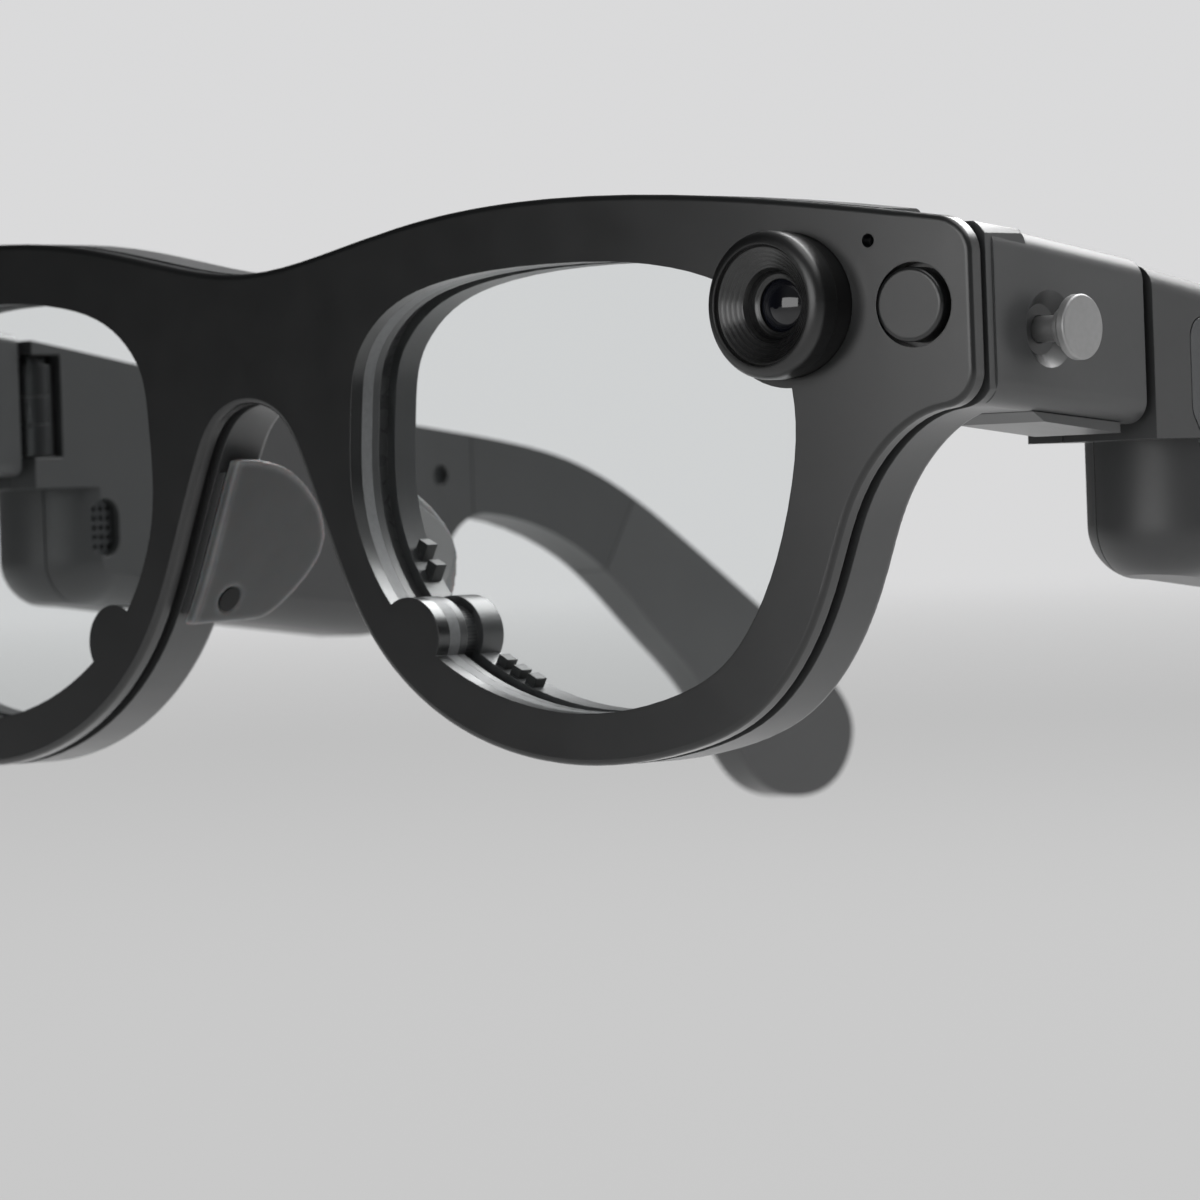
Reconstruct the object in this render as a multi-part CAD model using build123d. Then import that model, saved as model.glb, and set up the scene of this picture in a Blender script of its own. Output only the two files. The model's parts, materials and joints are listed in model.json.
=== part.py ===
from build123d import *
import os
from math import atan, cos, degrees, sin, sqrt

# Smart glasses: a wrapped front with clear lenses, two folding temples that carry the
# electronics, a camera barrel, a front button and a push button on each end piece.
# Design frame while building: X to the wearer's left, Y backwards from the front face at the
# bridge, Z up from the bottom of the rims. Everything is moved to the row frame on export.

# ---- Driving dimensions (mm) ----
HALF_WIDTH = 75.4          # centre to the outer side of the front plate
WRAP_RADIUS = 385.0        # the front face is a vertical cylinder of this radius
PLATE_T = 1.4              # front plate
GASKET_T = 1.3             # black groove between plate and shell
RIM_T = 8.2                # front plate, gasket and shell together
GROOVE_INSET = 0.8         # how far the gasket sits back from the outline
LENS_T = 2.0
LENS_LIP = 0.9             # how far the lens edge runs into its groove in the shell
RUN_FIT = 0.05             # radial clearance of a running fit
SEAM = 0.12                # visible line between two casings

CAMERA_X, CAMERA_Z = 58.7, 38.3
CAMERA_FACE_Y = 0.9        # front of the barrel
CAMERA_R = 6.1
CAMERA_NECK_R = 5.9        # part of the barrel that sits in the frame
CAMERA_NECK_Y = 3.45
CAMERA_LENGTH = 8.2
CAMERA_WALL = 1.1
CAMERA_BOSS_R = 6.8
BUTTON_X, BUTTON_Z = 70.25, 37.8
BUTTON_R = 3.05
BUTTON_HOLE_R = 3.45
BUTTON_PROUD = 0.8
MIC_X, MIC_Z = 66.3, 43.2
MIC_HOLE_R = 0.55

BLOCK_INNER_X = 62.6       # end piece behind each end of the front
BLOCK_OUTER_X = 75.1
BLOCK_REAR_Y = 31.1
BLOCK_TOP_FRONT_Z, BLOCK_TOP_REAR_Z = 44.4, 41.6
BLOCK_LOW_FRONT_Z, BLOCK_LOW_REAR_Z = 29.5, 27.7
BLOCK_FRONT_Y = 11.0
BLOCK_WALL = 1.4

SIDE_BUTTON_Y, SIDE_BUTTON_Z = 18.2, 35.6
SIDE_BUTTON_R = 2.7
SIDE_BUTTON_PROUD = 3.4
SIDE_STEM_R = 1.1
SIDE_DISH_R = 3.2

HINGE_X, HINGE_Y = 63.6, 33.8
KNUCKLE_R = 1.9
HINGE_LOW_Z, HINGE_HIGH_Z = 29.6, 38.6
HINGE_SCREW_R = 0.7
LEAF_T = 1.2

TEMPLE_FRONT_Y = 32.1
TEMPLE_INNER_X = 61.7
TEMPLE_OUTER_X = 75.3
COVER_SPLIT_X = 65.4       # the inner cover meets the outer shell here
MODULE_UNDERSIDE = ((33.7, 15.5), (78.5, 10.3))   # straight line (y, z) under the module
MODULE_NOSE_Y = 42.8       # centre of the round nose seen from above
MODULE_CORNER_R = 4.8
MODULE_STEP_Z = 26.4       # underside of the arm in front of the module
TEMPLE_WALL = 1.4
TIP_CENTRE = (149.6, -4.3)
TIP_R = 6.2

# The row frame's origin is under the middle of the glasses' box, at its lowest level.
ORIGIN_Y = (TIP_CENTRE[0] + TIP_R) / 2
ORIGIN_Z = TIP_CENTRE[1] - TIP_R


# ---- Frames and helpers ----
def wrap_depth(x):
    """How far the front face lies behind the bridge at a distance x from the centre."""
    return WRAP_RADIUS - sqrt(WRAP_RADIUS**2 - x**2)


def wrap_angle(x):
    """Turn of the front face's normal at x, in degrees."""
    return degrees(atan(x / sqrt(WRAP_RADIUS**2 - x**2)))


def front_plane(x, z, depth=0):
    """Plane on the wrapped front face at (x, z), its normal pointing backwards."""
    tilt = wrap_angle(x)
    outward = Location((x, wrap_depth(x), z), (0, 0, tilt))
    return outward * Pos(0, depth, 0) * Rot(-90, 0, 0)


def right_copy(shape):
    """The right-hand twin of a left-hand shape."""
    return mirror(shape, about=Plane.YZ)


def box_between(low, high):
    """Box given by its lowest and highest corners."""
    size = [b - a for a, b in zip(low, high)]
    middle = [(a + b) / 2 for a, b in zip(low, high)]
    return Pos(*middle) * Box(*size)


def upright_rod(x, y, z_low, z_high, radius):
    """Vertical cylinder from z_low to z_high."""
    return Pos(x, y, (z_low + z_high) / 2) * Cylinder(radius, z_high - z_low)


def outward_rod(x_low, x_high, y, z, radius):
    """Cylinder along X from x_low to x_high."""
    return Pos((x_low + x_high) / 2, y, z) * Rot(0, 90, 0) * Cylinder(radius, x_high - x_low)


def deep_rod(x, z, y_low, y_high, radius):
    """Cylinder along Y from y_low to y_high."""
    return Pos(x, (y_low + y_high) / 2, z) * Rot(90, 0, 0) * Cylinder(radius, y_high - y_low)


# ---- Outlines in front view (x, z) ----
def both_sides(points, middle):
    """Points of a curve that is the same on both sides of its middle, in order of x."""
    return [(-x, z) for x, z in reversed(points)] + [middle] + points


def corner_arc(curve, turn):
    """Arc from the end of a curve to the upright outer side; turn is -1 downwards, 1 upwards."""
    start, heading = curve @ 1, curve % 1
    reach = HALF_WIDTH - start.X
    slope = heading.Y / heading.X
    end = (HALF_WIDTH, start.Y + reach * (slope + turn * sqrt(1 + slope**2)))
    return TangentArc((start.X, start.Y), end, tangent=heading)


def front_outline():
    """Whole outer outline of the front, brow to rims, with the bridge arch."""
    corner_x = HALF_WIDTH - 2.7
    brow = Spline(*both_sides([
        (10.9, 45.5), (21.3, 47.5), (34.4, 48.5), (55.5, 47.3), (corner_x, 44.9),
    ], (0, 44.0)))
    rim = Spline(*both_sides([
        (3.8, 31.3), (6.4, 27.4), (9.4, 20.4), (14.0, 11.6), (20.5, 5.5), (28.5, 1.9), (38.5, 0.6),
        (46.5, 1.6), (53.5, 4.3), (58.3, 9.2), (61.5, 15.7), (64.0, 22.2), (67.0, 26.3),
        (70.2, 28.6), (corner_x, 29.3),
    ], (0, 32.6)))
    top_arc, low_arc = corner_arc(brow, -1), corner_arc(rim, 1)
    end = [top_arc, low_arc, Line(top_arc @ 1, low_arc @ 1)]
    return make_face(Curve() + [brow, rim] + end + [mirror(edge, about=Plane.YZ) for edge in end])


def lens_opening():
    """Left lens opening, before the camera boss and the eye camera pod fill their corners."""
    points = [
        (14.1, 37.1), (17.6, 40.2), (24.0, 42.2), (35.0, 43.0), (47.0, 42.1), (55.6, 38.2),
        (58.9, 30.5), (58.2, 22.6), (55.0, 13.7), (51.0, 8.7), (45.0, 6.0), (37.0, 5.0),
        (28.5, 6.5), (21.0, 10.3), (15.4, 16.0), (12.5, 23.5), (12.6, 31.5),
    ]
    return make_face(Spline(*points, periodic=True))


POD_X, POD_Z, POD_R = 18.3, 11.8, 3.4


def left_opening():
    """Left opening of the rim, with the camera boss and the eye camera pod standing into it."""
    boss = Pos(CAMERA_X, CAMERA_Z) * Circle(CAMERA_BOSS_R)
    pod = Pos(POD_X, POD_Z) * Circle(POD_R)
    return lens_opening() - boss - pod


def right_opening():
    """Right opening of the rim: it has the eye camera pod but no camera boss."""
    pod = Pos(POD_X, POD_Z) * Circle(POD_R)
    return mirror(lens_opening() - pod, about=Plane.YZ)


def grown(face, amount, count):
    """Smooth outline moved outwards by amount, or inwards when amount is negative."""
    wire = face.faces()[0].outer_wire()
    spots = [wire @ (step / count) for step in range(count)]
    headings = [wire % (step / count) for step in range(count)]
    winding = sum(a.X * b.Y - b.X * a.Y for a, b in zip(spots, spots[1:] + spots[:1]))
    out = amount if winding > 0 else -amount
    moved = [(spot.X + out * way.Y, spot.Y - out * way.X) for spot, way in zip(spots, headings)]
    return make_face(Spline(*moved, periodic=True))


def band(face, near, far):
    """Layer of the wrapped front from near to far behind its face, cut to a front-view face."""
    reach = 40.0
    prism = extrude(Plane.XZ * face, amount=reach, both=True)
    centre = Pos(0, WRAP_RADIUS, 20)
    height = 120.0
    return prism & (centre * Cylinder(WRAP_RADIUS - near, height)
                    - centre * Cylinder(WRAP_RADIUS - far, height))


# ---- Front pieces ----
def plate_holes(camera_r, button_r, mic_r):
    """Cutters for the camera, the front button and the microphone, through the front layers."""
    button = front_plane(BUTTON_X, BUTTON_Z) * Cylinder(button_r, 6.0)
    mic = front_plane(MIC_X, MIC_Z) * Cylinder(mic_r, 6.0)
    return deep_rod(CAMERA_X, CAMERA_Z, -2, 8.8, camera_r) + button + mic


def front_plate():
    """Thin matte plate over the whole front, its outer edge broken."""
    face = front_outline() - left_opening() - right_opening()
    plate = band(face, 0, PLATE_T)
    front = plate.faces().sort_by(SortBy.AREA)[-2:].sort_by(Axis.Y)[0]
    plate = fillet(front.outer_wire().edges(), 0.5)
    return plate - plate_holes(CAMERA_NECK_R + RUN_FIT, BUTTON_HOLE_R, MIC_HOLE_R)


def rim_gasket():
    """Dark spacer between plate and shell, set back so that it reads as a groove."""
    outer = grown(front_outline(), -GROOVE_INSET, 320)
    face = outer - left_opening() - right_opening()
    gasket = band(face, PLATE_T, PLATE_T + GASKET_T)
    return gasket - plate_holes(CAMERA_NECK_R + RUN_FIT, BUTTON_R + 0.75, MIC_HOLE_R)


def block_top(y):
    """Height of the end piece's top at y."""
    share = (y - BLOCK_FRONT_Y) / (BLOCK_REAR_Y - BLOCK_FRONT_Y)
    return BLOCK_TOP_FRONT_Z + share * (BLOCK_TOP_REAR_Z - BLOCK_TOP_FRONT_Z)


def block_low(y):
    """Height of the end piece's underside at y."""
    share = (y - BLOCK_FRONT_Y) / (BLOCK_REAR_Y - BLOCK_FRONT_Y)
    return BLOCK_LOW_FRONT_Z + share * (BLOCK_LOW_REAR_Z - BLOCK_LOW_FRONT_Z)


def block_profile(y_low, y_high, inset):
    """Side view (y, z) of the end piece between two stations, drawn in by inset."""
    corners = [
        (y_low, block_low(y_low) + inset), (y_high, block_low(y_high) + inset),
        (y_high, block_top(y_high) - inset), (y_low, block_top(y_low) - inset),
    ]
    return make_face(Polyline(*corners, close=True))


def slab(profile, x_low, x_high):
    """Side-view profile (y, z) stretched from x_low to x_high."""
    return Pos(x_low, 0, 0) * extrude(Plane.YZ * profile, amount=x_high - x_low)


def long_edges(block, x):
    """Edges of the end piece that run backwards in the plane at x."""
    return block.edges().filter_by(
        lambda edge: abs((edge @ 1 - edge @ 0).Y) > 15 and abs((edge @ 0.5).X - x) < 0.1)


def end_block():
    """Solid end piece with rounded long edges."""
    block = slab(block_profile(BLOCK_FRONT_Y, BLOCK_REAR_Y, 0), BLOCK_INNER_X, BLOCK_OUTER_X)
    block = fillet(long_edges(block, BLOCK_OUTER_X), 2.0)
    return fillet(long_edges(block, BLOCK_INNER_X), 1.0)


CAVITY_X = (BLOCK_INNER_X + BLOCK_WALL, BLOCK_OUTER_X - 1.8)
CAVITY_Y = (15.6, BLOCK_REAR_Y - 1.6)
LEAF_X = (CAVITY_X[0], CAVITY_X[0] + LEAF_T)
COVER_Y = (17.4, 29.3)
COVER_X = (64.6, 73.6)
COVER_T = 0.9


def end_cavity():
    """Hollow of the end piece: switch bay, hinge leaf slot and the opening in its underside."""
    bay = slab(block_profile(*CAVITY_Y, 1.8), *CAVITY_X)
    hatch = box_between((COVER_X[0] + 1.4, COVER_Y[0] + 1.2, 24), (COVER_X[1] - 1.4, COVER_Y[1] - 1.6, 33))
    leaf_slot = box_between((LEAF_X[0], 25, HINGE_LOW_Z), (LEAF_X[1], 33, HINGE_HIGH_Z))
    return bay + hatch + leaf_slot


def side_button_bore():
    """Stem bore and shallow dish of the side button."""
    bore = outward_rod(70, 77, SIDE_BUTTON_Y, SIDE_BUTTON_Z, SIDE_STEM_R + RUN_FIT)
    dish_depth = 1.1
    dish = Pos(BLOCK_OUTER_X - dish_depth / 2, SIDE_BUTTON_Y, SIDE_BUTTON_Z) * Rot(0, 90, 0) * Cone(
        SIDE_DISH_R - 1.1, SIDE_DISH_R, dish_depth)
    return bore + dish



def brow_strip(width):
    """Front-view strip that follows the brow from one end piece to the other."""
    path = Spline((-55, 45.3), (-34, 45.8), (-13, 42.9), (0, 41.4), (13, 42.9), (34, 45.8), (55, 45.3))
    return trace(path, width)


def flex_cable(spare):
    """Flat cable along the brow, or its channel when it is given some spare room."""
    near = PLATE_T + GASKET_T
    return band(brow_strip(1.6 + 2 * spare), near, near + 0.3 + spare)


PLATE_SCREWS = [(6.0, 37.0), (42.0, 3.0)]


def plate_screw(x, z):
    """Small screw that holds the plate from behind the shell."""
    rear = wrap_depth(x) + RIM_T
    head = deep_rod(x, z, rear - 0.9, rear - 0.3, 1.1)
    shank = deep_rod(x, z, rear - 5.0, rear - 0.9, 0.6)
    slot = box_between((x - 0.8, rear - 0.6, z - 0.15), (x + 0.8, rear, z + 0.15))
    return head + shank - slot


def plate_screw_hole(x, z):
    """Counterbored hole for a plate screw."""
    rear = wrap_depth(x) + RIM_T
    return deep_rod(x, z, rear - 0.9, rear + 1, 1.1) + deep_rod(x, z, rear - 5.0, rear - 0.9, 0.6)


EYE_CAMERA_R = 1.4
EYE_CAMERA_AIM = (0.72, 0.45, 0.52)
EYE_CAMERA_BASE = (POD_X - 1.3, 7.8, POD_Z - 0.8)


def eye_camera_plane():
    """Plane at the root of the left eye camera, its normal along the line of sight."""
    return Plane(origin=EYE_CAMERA_BASE, z_dir=EYE_CAMERA_AIM)


def eye_camera():
    """Small camera that looks back at the eye from the pod."""
    body = Pos(0, 0, 1.7) * Cylinder(EYE_CAMERA_R, 3.4)
    mouth = Pos(0, 0, 3.4) * Cone(0.7, 1.25, 0.8)
    glass = Pos(0, 0, 3.0) * Sphere(0.7)
    return eye_camera_plane() * (body - mouth + glass)


def eye_camera_bore():
    """Bore for the eye camera, open towards the eye."""
    return eye_camera_plane() * Pos(0, 0, 4.0) * Cylinder(EYE_CAMERA_R, 8.0)


def eye_lights():
    """Row of tiny infrared lights on the inner wall of the left opening, beside the pod."""
    spots = [(23.1, 9.05), (24.7, 8.15), (26.4, 7.4), (15.1, 17.4), (14.1, 19.2)]
    lamps = [Pos(x, 7.4, z) * Rot(0, 28, 0) * Box(1.1, 1.3, 1.6) for x, z in spots]
    return Compound(children=[lamp for lamp in lamps])


def left_lens():
    """Clear lens whose rim runs into a groove around its opening."""
    face = grown(lens_opening(), LENS_LIP, 90)
    face -= Pos(CAMERA_X, CAMERA_Z) * Circle(CAMERA_BOSS_R + 0.3)
    face -= Pos(POD_X, POD_Z) * Circle(POD_R - 0.7)
    near = PLATE_T + GASKET_T + 0.9
    return band(face, near, near + LENS_T)


def right_lens():
    """Right lens: it has no camera boss to clear."""
    face = grown(lens_opening(), LENS_LIP, 90)
    face -= Pos(POD_X, POD_Z) * Circle(POD_R - 0.7)
    near = PLATE_T + GASKET_T + 0.9
    return right_copy(band(face, near, near + LENS_T))


def shell_rim():
    """Rear rim behind both lenses, its rear outer edge rounded."""
    face = front_outline() - left_opening() - right_opening()
    rim = band(face, PLATE_T + GASKET_T, RIM_T)
    rear = rim.faces().sort_by(SortBy.AREA)[-2:].sort_by(Axis.Y)[-1]
    return fillet(rear.outer_wire().edges(), 0.8)


def switch_bay():
    """Round pocket behind the front button."""
    depth = (PLATE_T + GASKET_T, 5.6)
    length = depth[1] - depth[0]
    return front_plane(BUTTON_X, BUTTON_Z, (depth[0] + depth[1]) / 2) * Cylinder(BUTTON_R + 0.75, length)


def end_trim():
    """What the rim loses beside each end piece, so that rim and end piece run into each other."""
    front_y, rear_y = 6.0, 18.0
    spare = 0.15
    above = [
        (front_y, block_top(front_y) - spare), (rear_y, block_top(rear_y) - spare), (rear_y, 60), (front_y, 60),
    ]
    beside = box_between((BLOCK_OUTER_X - spare, front_y, 20), (80, rear_y, 60))
    return slab(make_face(Polyline(*above, close=True)), 65.5, 80) + beside


def frame_shell():
    """Rear shell: rim, end pieces, and every seat cut into them."""
    trim = end_trim()
    shell = shell_rim() - trim - right_copy(trim) + end_block() + right_copy(end_block())
    shell = shell - left_lens() - right_lens()
    left_cuts = [
        end_cavity(), side_button_bore(), eye_camera_bore(), clip_strip(),
        deep_rod(CAMERA_X, CAMERA_Z, 0, CAMERA_FACE_Y + CAMERA_LENGTH + 0.1, CAMERA_NECK_R + RUN_FIT),
        deep_rod(CAMERA_X, CAMERA_Z, 8.7, 11.4, 3.7),
        switch_bay(),
        front_plane(MIC_X, MIC_Z, PLATE_T + GASKET_T + 0.8) * Cylinder(1.5, 1.6),
    ]
    right_cuts = [end_cavity(), side_button_bore(), eye_camera_bore(), clip_strip()]
    for cut in left_cuts:
        shell -= cut
    for cut in right_cuts:
        shell -= right_copy(cut)
    for x, z in PLATE_SCREWS:
        shell -= plate_screw_hole(x, z)
        shell -= right_copy(plate_screw_hole(x, z))
    shell -= flex_cable(0.1)
    for lights in (eye_lights(), right_copy(eye_lights())):
        for lamp in lights.solids():
            shell -= lamp
    return shell


# ---- Nose pads ----
PAD_Y = (3.1, 16.8)
PAD_Z = (13.2, 27.8)
CLIP_T = 0.7
PAD_T = 1.3


def pad_profile(inset):
    """Side view (y, z) of the D-shaped nose pad, drawn in by inset."""
    y_low, y_high = PAD_Y[0], PAD_Y[1] - inset
    z_low, z_high = PAD_Z[0] + inset, PAD_Z[1] - inset
    curve = Spline(
        (y_low, z_high), (y_low + 4.2, z_high - 0.3), (y_high - 3.4, z_high - 3.0),
        (y_high, (z_low + z_high) / 2 - 0.9), (y_high - 3.0, z_low + 1.7), (y_low, z_low),
        tangents=[(1, 0.05), (-1, -0.05)])
    return make_face(Curve() + [curve, Line((y_low, z_low), (y_low, z_high))])


def arch_strip(near, far):
    """Strip that hugs the left wall of the bridge arch, from near to far off it."""
    slant = 1.09               # the wall leans, so a sideways step is longer than the gap it makes
    strip = Pos(-far * slant, 0) * front_outline() - Pos(-near * slant, 0) * front_outline()
    strip = strip & (Pos(9, 20) * Rectangle(16, 22))
    return extrude(Plane.XZ * strip, amount=30, both=True)


def clip_strip():
    """Stiff inner plate of the nose pad, lying on the wall of the arch."""
    profile = slab(pad_profile(1.1), 1.5, 16)
    return arch_strip(0, CLIP_T) & profile


def nose_pad():
    """Soft D-shaped pad over the clip."""
    return arch_strip(CLIP_T, CLIP_T + PAD_T) & slab(pad_profile(0), 1.5, 16)


def nose_sensor_window():
    """Round dark window at the foot of the right nose pad, let into its surface."""
    return right_copy(Pos(9.5, 6.6, 15.3) * Rot(0, 68, 0) * Cylinder(1.2, 6.0) & nose_pad_slice())


def nose_pad_slice():
    """Thin outer skin of the left nose pad, deep enough to seat the sensor window."""
    return arch_strip(CLIP_T + PAD_T - 0.6, CLIP_T + PAD_T) & slab(pad_profile(0), 1.5, 16)


# ---- Camera and front button ----
def ring_of(profile):
    """Body turned from a half section given as (radius, depth) points, axis along Y."""
    section = make_face(Polyline(*profile, close=True))
    turned = revolve(Plane.XZ * section, axis=Axis.Z)
    return Pos(CAMERA_X, CAMERA_FACE_Y, CAMERA_Z) * Rot(-90, 0, 0) * turned


def camera_barrel():
    """Barrel of the forward camera, with a soft shoulder round its face."""
    bore = CAMERA_R - CAMERA_WALL
    neck = CAMERA_NECK_Y - CAMERA_FACE_Y
    barrel = ring_of([
        (bore, 0), (CAMERA_R, 0), (CAMERA_R, neck), (CAMERA_NECK_R, neck),
        (CAMERA_NECK_R, CAMERA_LENGTH), (bore, CAMERA_LENGTH),
    ])
    front_rim = barrel.edges().filter_by(GeomType.CIRCLE).sort_by(Axis.Y)[:2].sort_by(SortBy.RADIUS)[-1]
    return fillet(front_rim, CAMERA_WALL - 0.05)


def camera_bezel():
    """Funnel inside the barrel that leads down to the lens."""
    outer = CAMERA_R - CAMERA_WALL
    return ring_of([
        (outer - 0.25, 0.35), (outer, 0.35), (outer, 4.6), (2.2, 4.6), (2.2, 2.6), (2.6, 2.4), (3.1, 1.5),
    ])


def camera_lens():
    """Front element of the camera: a dome on a short cylinder."""
    dome = Pos(0, 0, 5.2) * Sphere(3.2) & Pos(0, 0, 3.0) * Cylinder(2.2, 2.0)
    stem = Pos(0, 0, 5.3) * Cylinder(2.2, 2.6)
    return Pos(CAMERA_X, CAMERA_FACE_Y, CAMERA_Z) * Rot(-90, 0, 0) * (dome + stem)


def camera_sensor_board():
    """Sensor behind the lens on its round board."""
    board = deep_rod(CAMERA_X, CAMERA_Z, 9.6, 10.4, 3.4)
    sensor = box_between((CAMERA_X - 2, 8.0, CAMERA_Z - 1.6), (CAMERA_X + 2, 9.6, CAMERA_Z + 1.6))
    return board + sensor


BUTTON_TRAVEL = 0.5
SWITCH_DEPTH = 3.3


def on_button_axis(depth_low, depth_high, shape_of):
    """A body of the front button's stack between two depths behind the front face."""
    height = depth_high - depth_low
    return front_plane(BUTTON_X, BUTTON_Z, (depth_low + depth_high) / 2) * shape_of(height)


def front_button():
    """Round front button: cap, retaining flange and plunger."""
    cap = on_button_axis(-BUTTON_PROUD, 1.65, lambda height: Cylinder(BUTTON_R, height))
    flange = on_button_axis(1.65, 2.2, lambda height: Cylinder(BUTTON_R + 0.6, height))
    plunger = on_button_axis(2.2, 3.6, lambda height: Cylinder(0.9, height))
    crown = cap.edges().filter_by(GeomType.CIRCLE).sort_by(Axis.Y)[0]
    return fillet(crown, 0.35) + flange + plunger


def front_button_switch():
    """Switch under the front button on a round board."""
    body = on_button_axis(SWITCH_DEPTH, 4.9, lambda height: Box(4.4, 4.4, height))
    well = on_button_axis(SWITCH_DEPTH - 0.5, 4.5, lambda height: Cylinder(0.9 + RUN_FIT, height))
    board = on_button_axis(4.9, 5.5, lambda height: Cylinder(3.6, height))
    return body - well + board


def front_microphone():
    """Microphone capsule in the shell behind its hole."""
    return front_plane(MIC_X, MIC_Z, PLATE_T + GASKET_T + 0.9) * Cylinder(1.4, 1.2)


# ---- End pieces ----
def endpiece_cover():
    """Bevelled plate that closes the underside of the end piece."""
    corners = [
        (COVER_Y[0], block_low(COVER_Y[0])), (COVER_Y[1], block_low(COVER_Y[1])),
        (COVER_Y[1], block_low(COVER_Y[1]) - COVER_T), (COVER_Y[0] + 1.6, block_low(COVER_Y[0]) - COVER_T),
    ]
    return slab(make_face(Polyline(*corners, close=True)), *COVER_X)


def side_button():
    """Metal push button: a flat cap on a stem."""
    cap_x = BLOCK_OUTER_X + SIDE_BUTTON_PROUD
    cap = outward_rod(cap_x - 0.9, cap_x, SIDE_BUTTON_Y, SIDE_BUTTON_Z, SIDE_BUTTON_R)
    cap = fillet(cap.edges().filter_by(GeomType.CIRCLE), 0.2)
    collar = outward_rod(cap_x - 2.0, cap_x - 0.9, SIDE_BUTTON_Y, SIDE_BUTTON_Z, SIDE_BUTTON_R * 0.62)
    stem = outward_rod(71.0, cap_x - 2.0, SIDE_BUTTON_Y, SIDE_BUTTON_Z, SIDE_STEM_R)
    return cap + collar + stem


def side_switch():
    """Switch in the end piece that the side button's stem runs into."""
    y, z = SIDE_BUTTON_Y, SIDE_BUTTON_Z
    body = box_between((69.6, y - 2.2, z - 2.6), (72.6, y + 2.2, z + 2.6))
    well = outward_rod(70.0, 73.0, y, z, SIDE_STEM_R + RUN_FIT)
    board = box_between((68.8, y - 2.4, z - 4.0), (69.6, y + 6.0, z + 3.6))
    return body - well + board


KNUCKLE_LOW_Z = HINGE_LOW_Z + 3.1
KNUCKLE_HIGH_Z = HINGE_HIGH_Z - 3.1


def hinge_front_leaf():
    """Fixed hinge leaf: a plate inside the end piece with the two outer knuckles."""
    plate = box_between((LEAF_X[0], 25.0, HINGE_LOW_Z), (LEAF_X[1], 31.3, HINGE_HIGH_Z))
    leaf = plate
    for low, high in ((HINGE_LOW_Z, KNUCKLE_LOW_Z), (KNUCKLE_HIGH_Z, HINGE_HIGH_Z)):
        leaf += box_between((LEAF_X[0], 31.3, low), (LEAF_X[1], HINGE_Y, high))
        leaf += upright_rod(HINGE_X, HINGE_Y, low, high, KNUCKLE_R)
    return leaf - upright_rod(HINGE_X, HINGE_Y, HINGE_LOW_Z - 1, HINGE_HIGH_Z + 1, HINGE_SCREW_R + RUN_FIT)


def hinge_temple_leaf():
    """Moving hinge leaf: the middle knuckle and its plate inside the temple."""
    low, high = KNUCKLE_LOW_Z + RUN_FIT, KNUCKLE_HIGH_Z - RUN_FIT
    leaf = upright_rod(HINGE_X, HINGE_Y, low, high, KNUCKLE_R)
    leaf += box_between((LEAF_X[0], HINGE_Y, low), (LEAF_X[1], 39.0, high))
    leaf += box_between((LEAF_X[0], 38.6, low - 1.4), (LEAF_X[1], 45.0, high + 1.4))
    return leaf - upright_rod(HINGE_X, HINGE_Y, low - 1, high + 1, HINGE_SCREW_R + RUN_FIT)


def hinge_screw():
    """Slotted hinge screw through the three knuckles."""
    shank = upright_rod(HINGE_X, HINGE_Y, HINGE_LOW_Z, HINGE_HIGH_Z, HINGE_SCREW_R)
    head = upright_rod(HINGE_X, HINGE_Y, HINGE_HIGH_Z, HINGE_HIGH_Z + 0.7, 1.35)
    slot = box_between((HINGE_X - 2, HINGE_Y - 0.15, HINGE_HIGH_Z + 0.4), (HINGE_X + 2, HINGE_Y + 0.15, 42))
    return shank + head - slot


# ---- Temples ----
def temple_side():
    """Side view (y, z) of the whole temple: arm, hanging module and ear hook."""
    step_z = 26.2
    back = Spline(
        (TEMPLE_FRONT_Y, 41.0), (46.7, 38.5), (66, 35.1), (84, 32.3), (99.2, 30.2), (110.3, 27.8),
        (119.9, 23.7), (129.6, 17.9), (141.2, 10.5), (152.0, 2.6), (156.0, -3.4), (153.6, -8.3),
        (147.0, -10.6), (139.9, -8.9), (132.4, 0.4), (124.0, 8.3), (114.5, 16.3), (105.1, 20.8),
        (96.5, 22.4))
    under = Spline((96.5, 22.4), (91.8, 20.2), (88.6, 15.2), (84.4, 11.1), (78.5, 10.3))
    nose = Spline((33.7, 15.5), (28.5, 16.9), (25.7, 20.6), (26.1, 24.6), (27.6, step_z))
    edges = [
        back, under, Line((78.5, 10.3), (33.7, 15.5)), nose,
        Line((27.6, step_z), (TEMPLE_FRONT_Y, step_z)),
        Line((TEMPLE_FRONT_Y, step_z), (TEMPLE_FRONT_Y, 41.0)),
    ]
    return make_face(Curve() + edges)


def temple_plan(inset):
    """Plan view (x, y): full width beside the module, then tapering to a slim ear hook."""
    straight_y, far_y, low_y = 58.0, 160.0, 22.0
    taper = [(TEMPLE_OUTER_X, straight_y), (74.3, 72), (71.4, 90), (68.2, 108), (66.3, 128), (65.6, far_y)]
    lean = [(60.4, far_y), (60.5, 138), (60.9, 115), (61.4, 95), (TEMPLE_INNER_X, straight_y)]
    outer = Spline(*[(x - inset, y) for x, y in taper])
    inner = Spline(*[(x + inset, y) for x, y in lean])
    near_outer, near_inner = (TEMPLE_OUTER_X - inset, low_y), (TEMPLE_INNER_X + inset, low_y)
    edges = [
        outer, Line(outer @ 1, inner @ 0), inner, Line(inner @ 1, near_inner),
        Line(near_inner, near_outer), Line(near_outer, outer @ 0),
    ]
    return make_face(Curve() + edges)


def raised(plan):
    """Plan-view face stretched over the temple's whole height."""
    return Pos(0, 0, -20) * extrude(plan, amount=70)


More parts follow.
